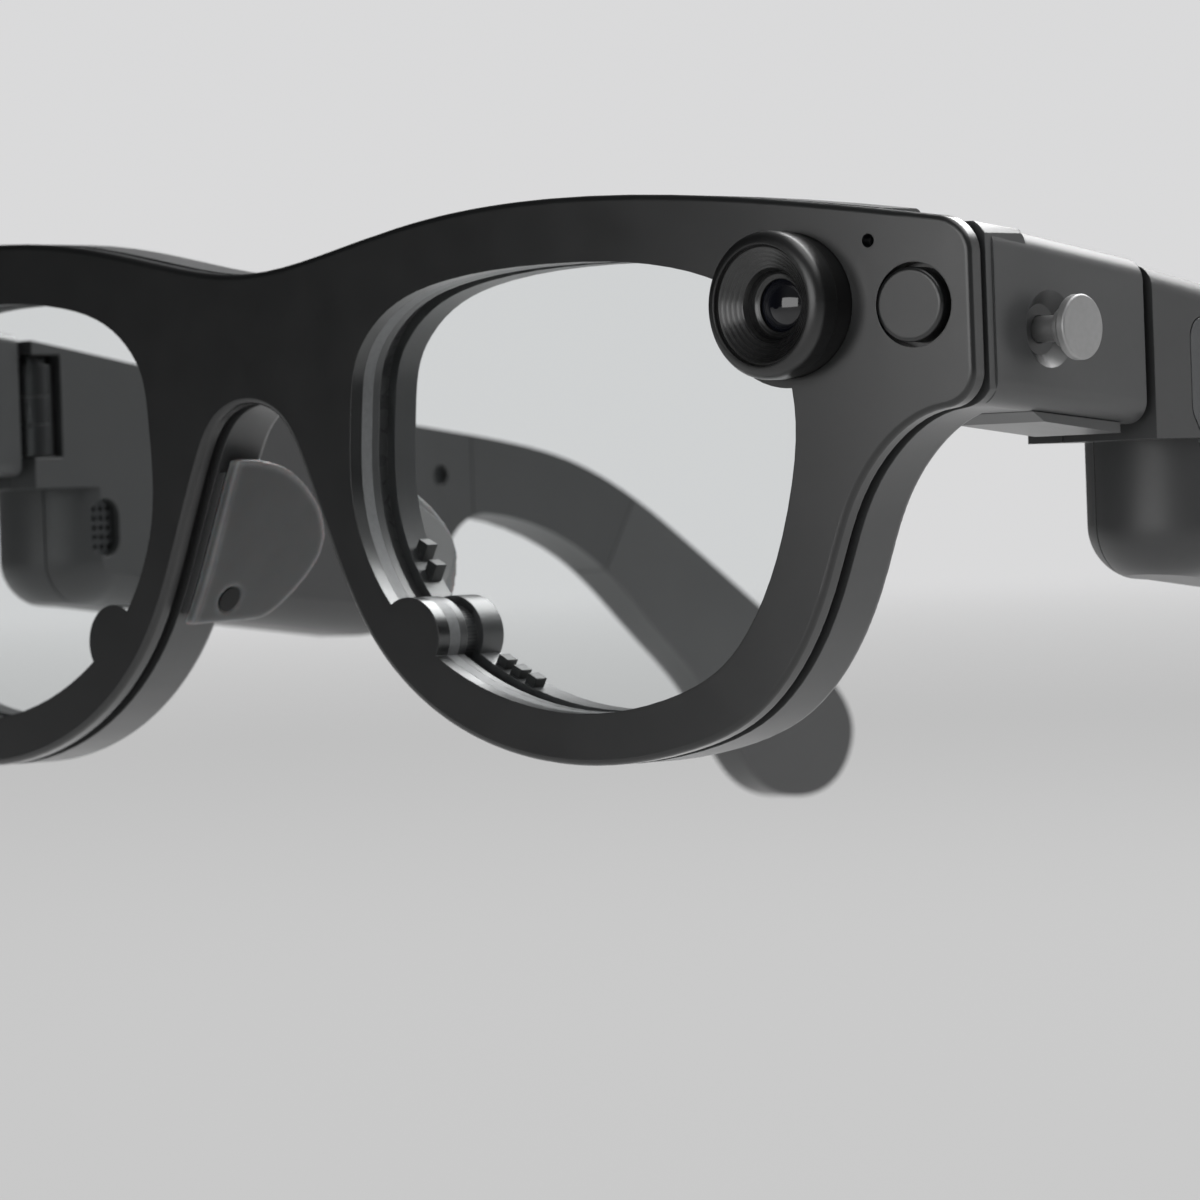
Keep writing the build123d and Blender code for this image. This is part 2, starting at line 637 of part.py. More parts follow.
def module_floor(y):
    """Height of the module's underside at depth y."""
    (near_y, near_z), (far_y, far_z) = MODULE_UNDERSIDE
    return near_z + (y - near_y) / (far_y - near_y) * (far_z - near_z)


def module_envelope(inset):
    """Round-nosed form that holds the module, joined to boxes round the arm and the ear hook."""
    half = (TEMPLE_OUTER_X - TEMPLE_INNER_X) / 2 + 0.3 - inset
    corner = MODULE_CORNER_R - inset
    low_z = module_floor(MODULE_NOSE_Y) + inset
    place = Pos((TEMPLE_OUTER_X + TEMPLE_INNER_X) / 2, MODULE_NOSE_Y, low_z)
    nose = extrude(Circle(half), amount=45)
    nose = fillet(nose.edges().sort_by(Axis.Z)[0], corner)
    section = Pos(0, 22.5) * Rectangle(2 * half, 45)
    section = fillet(section.vertices().sort_by(Axis.Y)[:2], corner)
    (near_y, near_z), (far_y, far_z) = MODULE_UNDERSIDE
    trough = extrude(Plane(origin=(0, 0, 0), x_dir=(1, 0, 0), z_dir=(0, -1, 0)) * section, amount=60,
                     dir=(0, far_y - near_y, far_z - near_z))
    arm = box_between((50, TEMPLE_FRONT_Y - 0.2, MODULE_STEP_Z + inset), (90, 170, 60))
    hook = box_between((50, 90, -20), (90, 170, 60))
    return arm + hook + place * nose + place * trough


def temple_body():
    """Whole temple as one solid, its outer long edges and its module rounded."""
    body = slab(temple_side(), 56, 80) & raised(temple_plan(0))
    middle = (TEMPLE_INNER_X + COVER_SPLIT_X) / 2
    outer = body.edges().filter_by(
        lambda edge: min((edge @ 0).X, (edge @ 0.5).X, (edge @ 1).X) > middle
        and abs((edge @ 0).Y - TEMPLE_FRONT_Y) + abs((edge @ 1).Y - TEMPLE_FRONT_Y) > 0.02)
    return fillet(outer, 2.0) & module_envelope(0)


CAVITY_END_Y = 86.0
CAVITY_START_Y = 37.6


def temple_cavity():
    """Hollow of arm and module."""
    start, end = CAVITY_START_Y, CAVITY_END_Y
    roof = Spline((start, 38.6), (46.7, 37.0), (66, 33.6), (end, 30.5))
    floor = Spline((end, 14.6), (83.2, 12.5), (78.0, 11.9))
    side = make_face(Curve() + [
        roof, Line((end, 30.5), (end, 14.6)), floor, Line((78.0, 11.9), (start, 16.6)),
        Line((start, 16.6), (start, 38.6)),
    ])
    hollow = slab(side, 56, 80) & raised(temple_plan(TEMPLE_WALL))
    return hollow & module_envelope(TEMPLE_WALL)


def hinge_notch():
    """Room at the temple's inner front corner for the knuckles to turn in."""
    return box_between((60, 31, HINGE_LOW_Z - 0.2), (HINGE_X + 2.15, HINGE_Y + 2.1, HINGE_HIGH_Z + 1.0))


PANEL_Y = (37.3, 82.0)
PANEL_DEPTH = 0.8


def side_panel(spare):
    """Glossy outer panel let into the temple's side, or its recess with some spare room."""
    near, far = PANEL_Y[0] - spare, PANEL_Y[1] + spare
    corners = [
        (near, 28.6 - spare), (near + 7.1, 17.8 - spare), (far, 13.9 - spare), (far, 29.0 + spare),
        (near, 36.9 + spare),
    ]
    side = make_face(Polyline(*corners, close=True))
    side = fillet(side.vertices(), 1.8)
    skin = raised(temple_plan(0)) - raised(temple_plan(PANEL_DEPTH))
    return slab(side, 68, 80) & skin & module_envelope(0)


TIP_CUT = (117.0, 18.5)
TIP_ANGLE = -33


def tip_region(gap):
    """Half space behind the line where the soft tip starts."""
    return Pos(63, *TIP_CUT) * Rot(TIP_ANGLE, 0, 0) * Pos(0, 50 + gap / 2, 0) * Box(30, 100, 100)


def temple_core():
    """Springy metal strip inside the ear hook."""
    line = Spline((96, 26.5), (101, 26.1), (108, 24.4), (120, 17.6), (132, 8.8), (145, -1.5))
    strip = trace(line, 2.6)
    return slab(strip, 62.6, 63.6)


COVER_END_Y = 95.0
GRILLE = (41.4, 22.3)
GRILLE_SIZE = (3.6, 5.8)


def grille_slot(height_share, x_low, x_high):
    """Upright slot shape of the speaker grille."""
    width, height = GRILLE_SIZE[0] * height_share, GRILLE_SIZE[1] * height_share
    return slab(Pos(*GRILLE) * Rot(0, 0, 90) * SlotOverall(height, width), x_low, x_high)


def speaker_grille():
    """Perforated plate in the grille slot."""
    plate = grille_slot(1.0, 62.5, 63.0)
    pitch = 0.95
    for row in range(-2, 3):
        for column in (-1, 0, 1):
            plate -= outward_rod(62.4, 63.1, GRILLE[0] + column * pitch, GRILLE[1] + row * pitch, 0.28)
    return plate


TEMPLE_SCREWS = [(90.2, 26.6), (88.6, 20.4)]


def temple_screw(y, z):
    """Small screw from the inner cover into the outer shell."""
    head = outward_rod(62.0, 62.6, y, z, 1.1)
    shank = outward_rod(62.6, 67.4, y, z, 0.6)
    slot = box_between((61.8, y - 0.8, z - 0.15), (62.25, y + 0.8, z + 0.15))
    return head + shank - slot


def temple_screw_hole(y, z):
    """Counterbored hole for a temple screw."""
    return outward_rod(60.0, 62.6, y, z, 1.1) + outward_rod(62.6, 67.4, y, z, 0.6)


CONTACTS = [(48.5 + 2.6 * step, 20.4 - 0.3 * step) for step in range(4)]


def charging_contacts():
    """Row of round charging pads, flush with the inner cover."""
    return [outward_rod(61.7, 63.1, y, z, 0.9) for y, z in CONTACTS]


def cover_region(gap):
    """Space taken by the inner cover, smaller by half of the seam."""
    return box_between((50, 20, -10), (COVER_SPLIT_X - gap / 2, COVER_END_Y - gap / 2, 50))


def temple_cover(body, cavity, with_contacts):
    """Inner half of arm and module."""
    cover = (body & cover_region(SEAM)) - cavity - hinge_notch() - hinge_temple_leaf()
    cover -= grille_slot(1.0, 61, 63.4)
    for y, z in TEMPLE_SCREWS:
        cover -= temple_screw_hole(y, z)
    if with_contacts:
        for pad in charging_contacts():
            cover -= pad
    return cover


def temple_shell(body, cavity):
    """Outer half of arm and module, running on into the ear hook."""
    shell = body - cover_region(-SEAM) - cavity - hinge_notch() - hinge_temple_leaf()
    shell = shell - tip_region(-SEAM) - temple_core() - side_panel(0.1)
    for y, z in TEMPLE_SCREWS:
        shell -= temple_screw_hole(y, z)
    return shell


def temple_tip(body):
    """Soft sleeve over the end of the ear hook."""
    return (body & tip_region(SEAM)) - temple_core()


def speaker():
    """Speaker box behind the grille, with its cone."""
    case = box_between((63.3, 41.0, 19.5), (68.6, 50.6, 27.2))
    case = fillet(case.edges().filter_by(Axis.X), 1.0)
    port = outward_rod(63.0, 63.9, GRILLE[0] + 0.6, GRILLE[1], 1.2)
    return case - port


def battery():
    """Pouch cell in the right module."""
    cell = box_between((64.4, 51.5, 15.9), (70.4, 80.5, 28.0))
    return fillet(cell.edges(), 1.2)


def main_board():
    """Circuit board with its chips in the left module."""
    board = box_between((66.6, 51.0, 15.8), (67.4, 82.0, 29.6))
    parts = [(54, 58, 17, 22), (60, 69, 17, 26), (72, 76, 16, 20), (72, 79, 22, 27), (54, 57, 24, 28)]
    for y_low, y_high, z_low, z_high in parts:
        board += box_between((67.4, y_low, z_low), (68.5, y_high, z_high))
    return board


# ---- Assembly ----
def front_parts():
    """Left, right and single pieces of the front, by node name."""
    pad, clip = nose_pad(), clip_strip()
    window = nose_sensor_window()
    lights = eye_lights()
    parts = {
        "front_plate": front_plate(),
        "rim_gasket": rim_gasket(),
        "frame_shell": frame_shell(),
        "lens_left": left_lens(),
        "lens_right": right_lens(),
        "nose_pad_left": pad,
        "nose_pad_right": right_copy(pad) - window,
        "nose_sensor_window": window,
        "camera_barrel": camera_barrel(),
        "camera_bezel": camera_bezel(),
        "camera_lens": camera_lens(),
        "camera_sensor_board": camera_sensor_board(),
        "front_button": front_button(),
        "front_button_switch": front_button_switch(),
        "front_microphone": front_microphone(),
        "front_flex_cable": flex_cable(0),
    }
    pairs = {
        "nose_pad_clip": clip,
        "eye_camera": eye_camera(),
        "eye_light_strip": lights,
        "endpiece_cover": endpiece_cover(),
        "side_button": side_button(),
        "side_switch": side_switch(),
        "hinge_front_leaf": hinge_front_leaf(),
        "hinge_screw": hinge_screw(),
    }
    for name, shape in pairs.items():
        parts[name + "_left"] = shape
        parts[name + "_right"] = right_copy(shape)
    screws = [plate_screw(x, z) for x, z in PLATE_SCREWS]
    parts["front_plate_screws"] = Compound(children=screws + [right_copy(screw) for screw in screws])
    return parts


def temple_parts():
    """Pieces of both temples, by node name."""
    body, cavity = temple_body(), temple_cavity()
    screws = Compound(children=[temple_screw(y, z) for y, z in TEMPLE_SCREWS])
    pairs = {
        "temple_shell": temple_shell(body, cavity),
        "temple_tip": temple_tip(body),
        "temple_core": temple_core(),
        "temple_side_panel": side_panel(0),
        "hinge_temple_leaf": hinge_temple_leaf(),
        "speaker": speaker(),
        "speaker_grille": speaker_grille(),
        "temple_screws": screws,
    }
    parts = {}
    for name, shape in pairs.items():
        parts[name + "_left"] = shape
        parts[name + "_right"] = right_copy(shape)
    parts["temple_cover_left"] = temple_cover(body, cavity, with_contacts=False)
    parts["temple_cover_right"] = right_copy(temple_cover(body, cavity, with_contacts=True))
    parts["charging_contacts_right"] = right_copy(Compound(children=charging_contacts()))
    parts["battery_right"] = right_copy(battery())
    parts["main_board_left"] = main_board()
    return parts


def write_parts():
    """Move every piece to the row frame and write it."""
    os.makedirs("parts", exist_ok=True)
    parts = {**front_parts(), **temple_parts()}
    lowest_piece = parts["temple_tip_left"].bounding_box()
    to_row_frame = Pos(0, -lowest_piece.max.Y / 2, -lowest_piece.min.Z)
    print("row frame shift", to_row_frame.position)
    for name, shape in parts.items():
        export_step(to_row_frame * shape, f"parts/{name}.step")


write_parts()
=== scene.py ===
import json
from math import cos, radians, sin

import bmesh
import bpy
from mathutils import Matrix, Vector


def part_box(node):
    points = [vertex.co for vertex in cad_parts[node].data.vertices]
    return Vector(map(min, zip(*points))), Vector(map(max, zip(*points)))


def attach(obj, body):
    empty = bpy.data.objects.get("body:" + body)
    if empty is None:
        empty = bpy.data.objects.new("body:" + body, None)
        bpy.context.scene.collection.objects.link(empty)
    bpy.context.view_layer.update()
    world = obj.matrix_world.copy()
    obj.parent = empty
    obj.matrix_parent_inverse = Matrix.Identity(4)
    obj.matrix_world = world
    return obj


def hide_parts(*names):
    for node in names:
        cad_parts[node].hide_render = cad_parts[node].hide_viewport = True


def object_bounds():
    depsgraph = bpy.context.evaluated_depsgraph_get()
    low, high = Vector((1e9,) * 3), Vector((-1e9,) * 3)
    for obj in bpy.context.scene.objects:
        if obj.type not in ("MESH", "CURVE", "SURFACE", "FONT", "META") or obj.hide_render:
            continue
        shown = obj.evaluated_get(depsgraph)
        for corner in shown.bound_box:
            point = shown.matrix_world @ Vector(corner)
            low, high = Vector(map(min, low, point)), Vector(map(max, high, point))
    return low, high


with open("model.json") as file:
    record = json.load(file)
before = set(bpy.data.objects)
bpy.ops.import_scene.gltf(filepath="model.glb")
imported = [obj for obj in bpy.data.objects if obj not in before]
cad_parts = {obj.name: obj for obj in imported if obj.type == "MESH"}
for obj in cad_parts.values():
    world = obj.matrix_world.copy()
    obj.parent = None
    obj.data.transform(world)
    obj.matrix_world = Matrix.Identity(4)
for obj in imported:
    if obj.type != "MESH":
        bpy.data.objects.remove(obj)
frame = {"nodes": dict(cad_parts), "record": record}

MM = 0.001
SIDES = ("left", "right")
CAD_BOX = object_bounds()
PLATE_LOW, PLATE_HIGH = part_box("front_plate")
FOCUS = sum(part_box("camera_barrel"), Vector()) / 2

# Camera: looks at a point on the front's foremost plane, inside the wearer's left lens
CAMERA_AZIMUTH = radians(41.722)
CAMERA_ELEVATION = radians(0.756)
CAMERA_ROLL = radians(-2.065)
CAMERA_DISTANCE = 504.77 * MM
TARGET_SHARE = 0.271        # of the plate's width, from the middle towards the wearer's left
TARGET_RISE = 25.2 * MM     # above the lowest point of the object
CAMERA_TARGET = Vector((
    TARGET_SHARE * (PLATE_HIGH.x - PLATE_LOW.x),
    PLATE_LOW.y,
    CAD_BOX[0].z + TARGET_RISE,
))
LENS_LENGTH = 181.38
SENSOR = 36.0
APERTURE = 75.0             # f-number: the far temple is slightly out of focus

# Stage
FLOOR_DROP = 50 * MM        # the object floats this far above the floor
FLOOR_RADIUS = 6.0
FLOOR_TONE = 0.55
FLOOR_EVEN = 0.93           # share of the even tone in the floor that the camera sees
CARD_LIGHT = 2.2            # glow of the bounce card under the object, unseen by the camera
CARD_SHARE = 0.5            # share of the even tone in what the floor throws back
CARD_INNER, CARD_OUTER = 0.10, 0.55     # the card's glow fades out between these radii
BACKDROP_TONE = (0.70, 0.70, 0.705)
ROOM_TINT = (0.97, 0.985, 1.0)
ROOM_LIGHT = 0.20
DARK_LIGHT = 0.008
DARK_AZIMUTH = -75

# Silicone pads
PAD_VOXEL = 0.22 * MM
PAD_MELT_STEPS = 9          # smoothing passes that round the pad's rim


# ---- Node helpers ----
class Maker:
    """Builds one node material; every pattern is in object space, in metres."""

    def __init__(self, name):
        self.material = bpy.data.materials.new(name)
        self.material.use_nodes = True
        self.tree = self.material.node_tree
        self.nodes = self.tree.nodes
        self.shader = self.nodes["Principled BSDF"]
        self.place = self.nodes.new("ShaderNodeTexCoord").outputs["Object"]

    def link(self, source, target):
        self.tree.links.new(source, target)

    def set(self, **values):
        for key, value in values.items():
            self.shader.inputs[key.replace("_", " ")].default_value = value

    def stretched(self, scale):
        """Object coordinates scaled unevenly, for brushed and streaked patterns."""
        mapping = self.nodes.new("ShaderNodeMapping")
        mapping.inputs["Scale"].default_value = scale
        self.link(self.place, mapping.inputs["Vector"])
        return mapping.outputs["Vector"]

    def noise(self, size, detail=4.0, place=None):
        """Cloud noise whose lumps are about size metres across."""
        noise = self.nodes.new("ShaderNodeTexNoise")
        noise.inputs["Scale"].default_value = 1 / size
        noise.inputs["Detail"].default_value = detail
        self.link(place or self.place, noise.inputs["Vector"])
        return noise.outputs["Fac"]

    def span(self, value, low, high, from_low=0.3, from_high=0.7):
        """Maps a 0 to 1 pattern on to low to high."""
        ramp = self.nodes.new("ShaderNodeMapRange")
        ramp.inputs["From Min"].default_value = from_low
        ramp.inputs["From Max"].default_value = from_high
        ramp.inputs["To Min"].default_value = low
        ramp.inputs["To Max"].default_value = high
        self.link(value, ramp.inputs["Value"])
        return ramp.outputs["Result"]

    def math(self, operation, first, second):
        node = self.nodes.new("ShaderNodeMath")
        node.operation = operation
        for slot, value in zip(node.inputs, (first, second)):
            if isinstance(value, (int, float)):
                slot.default_value = value
            else:
                self.link(value, slot)
        return node.outputs["Value"]

    def blend(self, share, first, second):
        """Colour that goes from first to second as share goes from 0 to 1."""
        mix = self.nodes.new("ShaderNodeMix")
        mix.data_type = "RGBA"
        self.link(share, mix.inputs["Factor"])
        for slot, value in zip((mix.inputs[6], mix.inputs[7]), (first, second)):
            if isinstance(value, tuple):
                slot.default_value = (*value, 1)
            else:
                self.link(value, slot)
        return mix.outputs[2]

    def soft_edges(self, radius):
        """Normal rounded over the edges, so that every moulded edge catches the light."""
        bevel = self.nodes.new("ShaderNodeBevel")
        bevel.samples = 4
        bevel.inputs["Radius"].default_value = radius
        return bevel.outputs["Normal"]

    def edge_mask(self, rounded):
        """1 on rounded edges, 0 on flat faces: the edges that are painted lighter, as wear and as painted
        highlight.
        """
        geometry = self.nodes.new("ShaderNodeNewGeometry")
        dot = self.nodes.new("ShaderNodeVectorMath")
        dot.operation = "DOT_PRODUCT"
        self.link(rounded, dot.inputs[0])
        self.link(geometry.outputs["Normal"], dot.inputs[1])
        return self.span(dot.outputs["Value"], 1, 0, 0.86, 0.995)

    def bump(self, height, depth, rounded=None):
        bump = self.nodes.new("ShaderNodeBump")
        bump.inputs["Strength"].default_value = 1.0
        bump.inputs["Distance"].default_value = depth
        self.link(height, bump.inputs["Height"])
        if rounded is not None:
            self.link(rounded, bump.inputs["Normal"])
        self.link(bump.outputs["Normal"], self.shader.inputs["Normal"])


def grey(level, cool=0.0):
    """Neutral colour with a slight cool or warm lean."""
    return (level * (1 - cool), level, level * (1 + cool))


def moulded(name, level, cool=0.03, rough=0.42, grain=0.12 * MM, depth=4e-6, edge=0.12 * MM, wear_and_highlight=0.5,
            metallic=0.0, coat=0.0, specular=0.5):
    """Moulded or painted surface: mottled colour, fine grain, uneven sheen, and edges painted lighter, partly
    as wear and partly as a painted highlight.
    """
    made = Maker(name)
    cloud = made.noise(9 * MM, 3)
    speck = made.noise(0.6 * MM, 6)
    pattern = made.math("ADD", made.math("MULTIPLY", cloud, 0.7), made.math("MULTIPLY", speck, 0.3))
    shade = made.blend(made.span(pattern, 0, 1), grey(level * 0.88, cool), grey(level * 1.12, cool * 0.7))
    rounded = made.soft_edges(edge)
    # painted highlight and wear: rounded edges are painted a lighter grey, partly rubbed wear and partly a
    # highlight painted along the fillets
    worn_and_highlit = made.math("MULTIPLY", made.edge_mask(rounded), made.span(speck, 0.2, 1.0))
    worn_and_highlit = made.math("MULTIPLY", worn_and_highlit, wear_and_highlight)
    shade = made.blend(worn_and_highlit, shade, grey(min(1.0, level * 2.2 + 0.02), cool))
    made.link(shade, made.shader.inputs["Base Color"])
    streak = made.noise(4 * MM, 5, made.stretched((1, 0.3, 1)))
    roughness = made.span(streak, rough - 0.02, rough + 0.02)
    roughness = made.math("ADD", roughness, made.math("MULTIPLY", worn_and_highlit, -0.08))
    made.link(roughness, made.shader.inputs["Roughness"])
    made.bump(made.noise(grain, 3), depth, rounded)
    made.set(Metallic=metallic, Coat_Weight=coat, Coat_Roughness=0.12, Specular_IOR_Level=specular)
    return made.material


# ---- Materials, one for each finish ----
def plate_matte():
    return moulded("plate_matte", 0.006, cool=0.04, rough=0.30, wear_and_highlight=0.3)


def shell_satin():
    # its lighter edges also serve as a painted highlight along the top fillets
    return moulded("shell_satin", 0.028, rough=0.42, wear_and_highlight=0.4)


def gasket_black():
    """Black rubber outside; the wall that faces a lens is the lighter grey of the lens's ground edge."""
    made = Maker("gasket_black")
    geometry = made.nodes.new("ShaderNodeNewGeometry")
    place, normal = made.nodes.new("ShaderNodeSeparateXYZ"), made.nodes.new("ShaderNodeSeparateXYZ")
    made.link(made.place, place.inputs[0])
    made.link(geometry.outputs["True Normal"], normal.inputs[0])
    low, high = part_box("lens_left")
    centre = (low + high) / 2
    side = made.math("SIGN", place.outputs["X"], 0.0)
    across = made.math("SUBTRACT", centre.x, made.math("ABSOLUTE", place.outputs["X"], 0.0))
    inward = made.math("MULTIPLY", made.math("MULTIPLY", normal.outputs["X"], side), across)
    rise = made.math("MULTIPLY", normal.outputs["Z"], made.math("SUBTRACT", centre.z, place.outputs["Z"]))
    facing_lens = made.span(made.math("ADD", inward, rise), 0, 1, 2 * MM, 4 * MM)
    speck = made.noise(0.5 * MM, 4)
    rubber = made.blend(made.span(speck, 0, 1), grey(0.003), grey(0.006))
    edge = made.blend(made.span(speck, 0, 1), grey(0.11, 0.02), grey(0.13, 0.02))
    made.link(made.blend(facing_lens, rubber, edge), made.shader.inputs["Base Color"])
    made.link(made.span(facing_lens, 0.7, 0.45, 0, 1), made.shader.inputs["Roughness"])
    made.set(Specular_IOR_Level=0.25)
    made.bump(made.noise(0.25 * MM, 3), 3e-6)
    return made.material


def pad_silicone():
    """Smoky translucent silicone, with its rounded edges painted lighter: a painted highlight for light
    scattered through the thin rim.
    """
    made = Maker("pad_silicone")
    cloud = made.noise(3 * MM, 4)
    rounded = made.soft_edges(1.1 * MM)
    inner = made.blend(made.span(cloud, 0, 1), grey(0.028, 0.04), grey(0.036, 0.03))
    # painted highlight: the rim is painted light grey where light would shine through the thin silicone edge
    share = made.math("MULTIPLY", made.edge_mask(rounded), made.span(cloud, 0.75, 1.0))
    made.link(made.blend(share, inner, grey(0.22, 0.02)), made.shader.inputs["Base Color"])
    made.link(made.span(cloud, 0.36, 0.46), made.shader.inputs["Roughness"])
    made.set(Subsurface_Weight=0.35, Subsurface_Scale=1.2 * MM, Transmission_Weight=0.12, IOR=1.41)
    made.set(Sheen_Weight=0.10, Sheen_Roughness=0.5, Specular_IOR_Level=0.3)
    made.bump(made.noise(0.2 * MM, 3), 3e-6)
    return made.material


def clip_plastic():
    return moulded("clip_plastic", 0.022, rough=0.5)


def lens_clear():
    """Clear lens: faces nearly invisible, ground edge frosted and as dark as the groove that holds it."""
    made = Maker("lens_clear")
    geometry = made.nodes.new("ShaderNodeNewGeometry")
    split = made.nodes.new("ShaderNodeSeparateXYZ")
    made.link(geometry.outputs["True Normal"], split.inputs[0])
    level = made.math("ABSOLUTE", split.outputs["Y"], 0.0)
    ground = made.span(level, 1, 0, 0.55, 0.80)
    clear = made.nodes.new("ShaderNodeBsdfTransparent")
    clear.inputs["Color"].default_value = (0.965, 0.975, 0.975, 1)
    shine = made.nodes.new("ShaderNodeBsdfGlossy")
    made.link(made.span(made.noise(5 * MM, 3), 0.015, 0.05), shine.inputs["Roughness"])
    facing = made.nodes.new("ShaderNodeLayerWeight")
    facing.inputs["Blend"].default_value = 0.5
    grazing = made.math("POWER", facing.outputs["Facing"], 4.0)
    share = made.math("ADD", made.math("MULTIPLY", grazing, 0.5), 0.018)
    face = made.nodes.new("ShaderNodeMixShader")
    made.link(share, face.inputs[0])
    made.link(clear.outputs[0], face.inputs[1])
    made.link(shine.outputs[0], face.inputs[2])
    speck = made.noise(0.3 * MM, 4)
    made.link(made.blend(made.span(speck, 0, 1), grey(0.03, 0.02), grey(0.045, 0.02)),
              made.shader.inputs["Base Color"])
    made.set(Roughness=0.6, Specular_IOR_Level=0.2)
    made.bump(speck, 5e-6)
    both = made.nodes.new("ShaderNodeMixShader")
    made.link(ground, both.inputs[0])
    made.link(face.outputs[0], both.inputs[1])
    made.link(made.shader.outputs[0], both.inputs[2])
    made.link(both.outputs[0], made.nodes["Material Output"].inputs["Surface"])
    return made.material


def sensor_black():
    return moulded("sensor_black", 0.002, rough=0.30, wear_and_highlight=0.0, depth=5e-7, specular=0.12)


def camera_black():
    return moulded("camera_black", 0.004, rough=0.36, grain=0.10 * MM, depth=3e-6, edge=0.25 * MM, wear_and_highlight=0.15)


def bezel_black():
    """Turned black ring with fine concentric tool marks round the lens axis."""
    made = Maker("bezel_black")
    mapping = made.nodes.new("ShaderNodeMapping")
    mapping.vector_type = "POINT"
    mapping.inputs["Location"].default_value = (-FOCUS.x, 0, -FOCUS.z)
    made.link(made.place, mapping.inputs["Vector"])
    rings = made.nodes.new("ShaderNodeTexWave")
    rings.wave_type = "RINGS"
    rings.rings_direction = "Y"
    rings.inputs["Scale"].default_value = 900
    rings.inputs["Distortion"].default_value = 0.4
    made.link(mapping.outputs["Vector"], rings.inputs["Vector"])
    speck = made.noise(0.4 * MM, 4)
    made.link(made.blend(made.span(speck, 0, 1), grey(0.003), grey(0.008)), made.shader.inputs["Base Color"])
    made.link(made.span(rings.outputs["Fac"], 0.22, 0.34), made.shader.inputs["Roughness"])
    made.bump(rings.outputs["Fac"], 4e-6, made.soft_edges(0.08 * MM))
    return made.material


def camera_glass():
    """Coated dark front element; its colour is painted lighter and cooler towards grazing angles, a painted
    reflection of the coating's bloom.
    """
    made = Maker("camera_glass")
    weight = made.nodes.new("ShaderNodeLayerWeight")
    weight.inputs["Blend"].default_value = 0.35
    # painted reflection: the base colour brightens to a cool tint towards grazing angles
    made.link(made.blend(weight.outputs["Facing"], (0.002, 0.002, 0.003), (0.008, 0.009, 0.014)),
              made.shader.inputs["Base Color"])
    made.link(made.span(made.noise(2 * MM), 0.03, 0.07), made.shader.inputs["Roughness"])
    made.set(Coat_Weight=0.3, Coat_Roughness=0.10, IOR=1.4)
    made.bump(made.noise(1 * MM, 2), 2e-7)
    return made.material


def board_dark():
    return moulded("board_dark", 0.02, cool=0.2, rough=0.5)


def microphone_can():
    return moulded("microphone_can", 0.25, rough=0.35, metallic=1.0)


def flex_amber():
    return moulded("flex_amber", 0.08, cool=-0.4, rough=0.3)


def eye_camera_black():
    return moulded("eye_camera_black", 0.003, rough=0.40, wear_and_highlight=0.1, specular=0.2)


def light_window():
    return moulded("light_window", 0.012, rough=0.50, wear_and_highlight=0.2, specular=0.25)


def button_metal():
    """Bead-blasted metal cap."""
    return moulded("button_metal", 0.26, cool=0.0, rough=0.5, grain=0.09 * MM, depth=5e-6, metallic=0.85,
                   edge=0.15 * MM, wear_and_highlight=0.6)


def hinge_steel():
    return moulded("hinge_steel", 0.03, rough=0.42, metallic=0.8)


def screw_steel():
    return moulded("screw_steel", 0.03, rough=0.40, metallic=0.8)


def temple_satin():
    return moulded("temple_satin", 0.021, rough=0.48, wear_and_highlight=0.3)


def panel_gloss():
    return moulded("panel_gloss", 0.010, cool=0.22, rough=0.22, depth=8e-7, coat=0.6, wear_and_highlight=0.2)


def tip_soft():
    """Soft-touch ear hook: softer grain and a dusty sheen."""
    material = moulded("tip_soft", 0.019, rough=0.58, grain=0.18 * MM, depth=5e-6, wear_and_highlight=0.2)
    shader = material.node_tree.nodes["Principled BSDF"]
    shader.inputs["Sheen Weight"].default_value = 0.12
    shader.inputs["Sheen Roughness"].default_value = 0.5
    return material


def core_steel():
    return moulded("core_steel", 0.35, rough=0.3, metallic=1.0)


def speaker_black():
    return moulded("speaker_black", 0.01, rough=0.6)


def grille_mesh():
    return moulded("grille_mesh", 0.05, rough=0.4, metallic=1.0, edge=0.05 * MM)


def contact_gold():
    return moulded("contact_gold", 0.55, cool=-0.32, rough=0.25, metallic=1.0)


def battery_foil():
    return moulded("battery_foil", 0.4, rough=0.35, metallic=1.0)


FINISHES = (plate_matte, shell_satin, gasket_black, pad_silicone, clip_plastic, lens_clear, sensor_black,
            camera_black, bezel_black, camera_glass, board_dark, microphone_can, flex_amber, eye_camera_black,
            light_window, button_metal, hinge_steel, screw_steel, temple_satin, panel_gloss, tip_soft,
            core_steel, speaker_black, grille_mesh, contact_gold, battery_foil)


def dress(piece, material):
    piece.data.materials.clear()
    piece.data.materials.append(material)


def dress_frame(materials):
    """Every CAD node takes the finish of its record slot."""
    for part in frame["record"]["subparts"]:
        dress(frame["nodes"][part["node"]], materials[part["material_slot"]])


# ---- Soft pieces ----
def soft_pad(side, material):
    """Silicone pad: the solid's form with its edges melted into a soft rolled rim."""
    node = "nose_pad_" + side
    mesh = frame["nodes"][node].data.copy()
    pad = bpy.data.objects.new("silicone_pad_" + side, mesh)
    bpy.context.scene.collection.objects.link(pad)
    remesh = pad.modifiers.new("even", "REMESH")
    remesh.mode = "VOXEL"
    remesh.voxel_size = PAD_VOXEL
    melt = pad.modifiers.new("melt", "SMOOTH")
    melt.iterations = PAD_MELT_STEPS
    melt.factor = 0.5
    graph = bpy.context.evaluated_depsgraph_get()
    shaped = bpy.data.meshes.new_from_object(pad.evaluated_get(graph))
    pad.modifiers.clear()
    pad.data = shaped
    for face in shaped.polygons:
        face.use_smooth = True
    dress(pad, material)
    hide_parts(node)
    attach(pad, "front")


